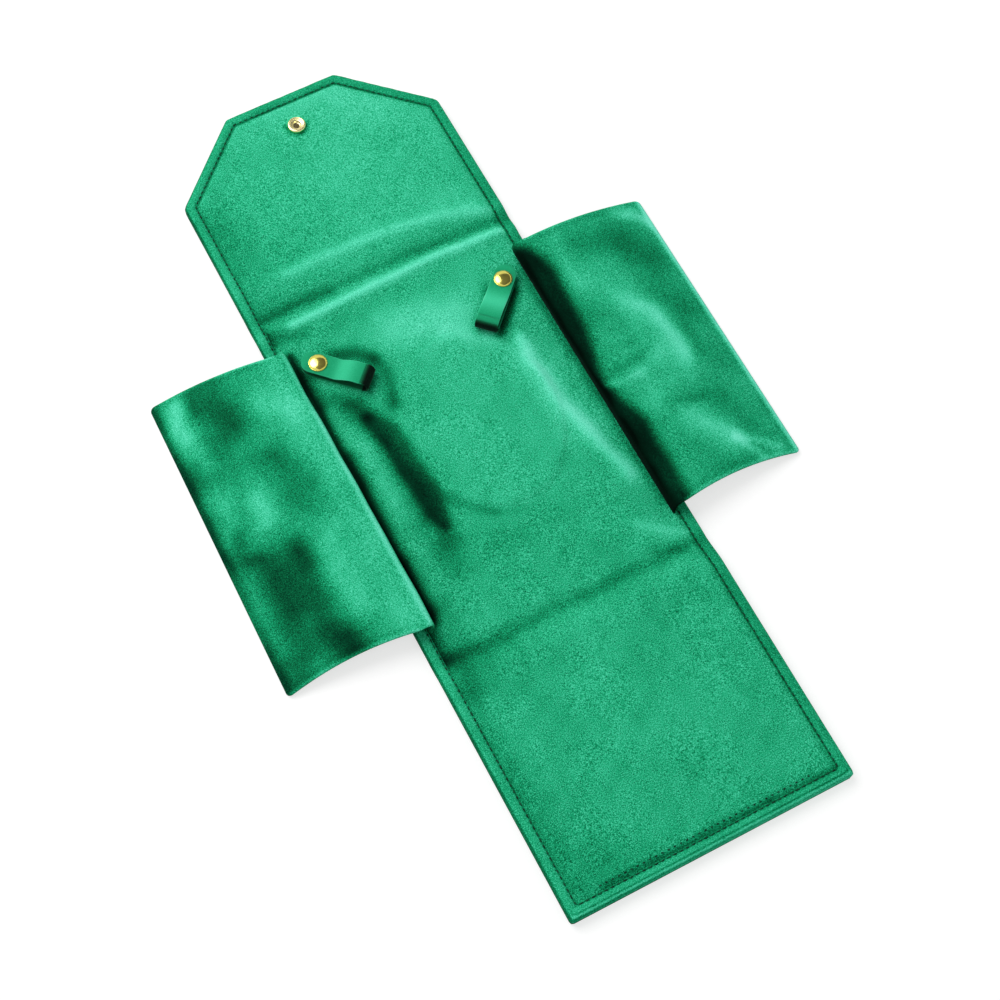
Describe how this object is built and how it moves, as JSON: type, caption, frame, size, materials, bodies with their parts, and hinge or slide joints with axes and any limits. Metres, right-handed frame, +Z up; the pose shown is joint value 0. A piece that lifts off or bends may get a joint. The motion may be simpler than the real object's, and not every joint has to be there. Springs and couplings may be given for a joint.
{
  "type": "jewelry pouch",
  "caption": "Fold-up velvet jewelry pouch lying open: back panel with padded side wings and snap loops, a front panel and a snap flap with cut corners.",
  "frame": {"origin": "under the middle of the back panel, on the surface that the open pouch lies on", "axes": "+X across the strip towards the right wing, +Y along the strip towards the snap flap, +Z up out of the lining"},
  "size_m": [0.2312, 0.3899, 0.012],
  "materials": {
    "cover_velvet": "short pile velvet, green",
    "lining_velvet": "short pile velvet, green, nap laid flat",
    "wing_velvet": "short pile velvet, green, crushed and shiny",
    "ribbon": "smooth faux suede ribbon, green",
    "thread": "polyester sewing thread, dark green",
    "felt": "needled felt",
    "wadding": "loose polyester wadding",
    "stiffener": "thin flexible sheet",
    "gilt_brass": "polished gold plate"
  },
  "bodies": {
    "back_panel": {"back_cover": "cover_velvet", "back_interlining": "felt", "round_insert": "stiffener", "back_lining": "lining_velvet", "left_side_stitching": "thread", "right_side_stitching": "thread", "upper_fold_cover": "cover_velvet", "upper_fold_lining": "lining_velvet", "lower_fold_cover": "cover_velvet", "lower_fold_lining": "lining_velvet", "left_wing_root": "wing_velvet", "right_wing_root": "wing_velvet", "left_loop_base": "ribbon", "left_loop_stud": "gilt_brass", "right_loop_base": "ribbon", "right_loop_stud": "gilt_brass"},
    "flap": {"flap_cover": "cover_velvet", "flap_interlining": "felt", "flap_lining": "lining_velvet", "flap_stitching": "thread", "flap_snap_socket": "gilt_brass", "flap_snap_cap": "gilt_brass"},
    "front": {"front_cover": "cover_velvet", "front_interlining": "felt", "front_lining": "lining_velvet", "front_stitching": "thread", "front_snap_stud": "gilt_brass", "front_snap_eyelet": "gilt_brass"},
    "left_wing": {"left_wing_face": "wing_velvet", "left_wing_wadding": "wadding", "left_wing_back": "wing_velvet"},
    "right_wing": {"right_wing_face": "wing_velvet", "right_wing_wadding": "wadding", "right_wing_back": "wing_velvet"},
    "left_loop": {"left_loop_arm": "ribbon", "left_loop_socket": "gilt_brass", "left_loop_cap": "gilt_brass"},
    "right_loop": {"right_loop_arm": "ribbon", "right_loop_socket": "gilt_brass", "right_loop_cap": "gilt_brass"}
  },
  "joints": [
    {"name": "flap_fold", "type": "hinge", "parent": "back_panel", "child": "flap", "pos_m": [0, 0.0847, 0.0139], "axis": [1, 0, 0], "range_deg": [0, 179.5]},
    {"name": "front_fold", "type": "hinge", "parent": "back_panel", "child": "front", "pos_m": [0, -0.0847, 0.0114], "axis": [-1, 0, 0], "range_deg": [0, 179.5]},
    {"name": "left_wing_fold", "type": "hinge", "parent": "back_panel", "child": "left_wing", "pos_m": [-0.06, 0, 0.012], "axis": [0, 1, 0], "range_deg": [0, 188]},
    {"name": "right_wing_fold", "type": "hinge", "parent": "back_panel", "child": "right_wing", "pos_m": [0.06, 0, 0.012], "axis": [0, -1, 0], "range_deg": [0, 188]},
    {"name": "left_loop_open", "type": "hinge", "parent": "back_panel", "child": "left_loop", "pos_m": [-0.0296, 0.0444, 0.01], "axis": [-0.7071, -0.7071, 0], "range_deg": [-150, 0]},
    {"name": "right_loop_open", "type": "hinge", "parent": "back_panel", "child": "right_loop", "pos_m": [0.0296, 0.0444, 0.01], "axis": [-0.7071, 0.7071, 0], "range_deg": [-150, 0]}
  ]
}
